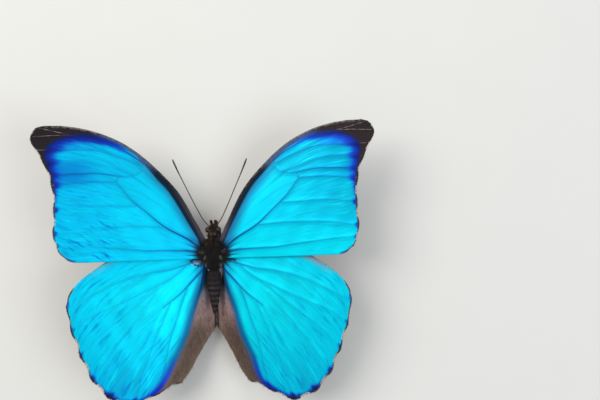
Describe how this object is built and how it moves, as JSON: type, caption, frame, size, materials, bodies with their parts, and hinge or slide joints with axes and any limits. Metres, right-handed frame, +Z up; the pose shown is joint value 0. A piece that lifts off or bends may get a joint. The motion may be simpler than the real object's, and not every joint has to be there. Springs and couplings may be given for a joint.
{
  "type": "blue morpho butterfly",
  "caption": "Still life-size blue morpho butterfly, iridescent blue wings spread in a shallow V, standing on its walking legs.",
  "frame": {"origin": "on the floor under the middle of the bounding box, between the walking feet", "axes": "+X to the butterfly's right across the wings, +Y forward along the body to the head, +Z up, the way the back faces"},
  "size_m": [0.1112, 0.0964, 0.0323],
  "materials": {
    "wing": "satin, iridescent blue above, brown with ringed eyespots below",
    "body": "short dark brown hair",
    "eye": "glossy dark brown",
    "leg": "dark brown horn with fine scales"
  },
  "bodies": {
    "root": {"head": "body", "thorax": "body", "abdomen": "body", "eye_left": "eye", "eye_right": "eye", "antenna_left": "leg", "antenna_right": "leg", "palp_left": "body", "palp_right": "body", "proboscis": "leg", "forewing_left": "wing", "forewing_right": "wing", "hindwing_left": "wing", "hindwing_right": "wing", "foreleg_left": "leg", "foreleg_right": "leg", "midleg_left": "leg", "midleg_right": "leg", "hindleg_left": "leg", "hindleg_right": "leg"}
  },
  "joints": []
}
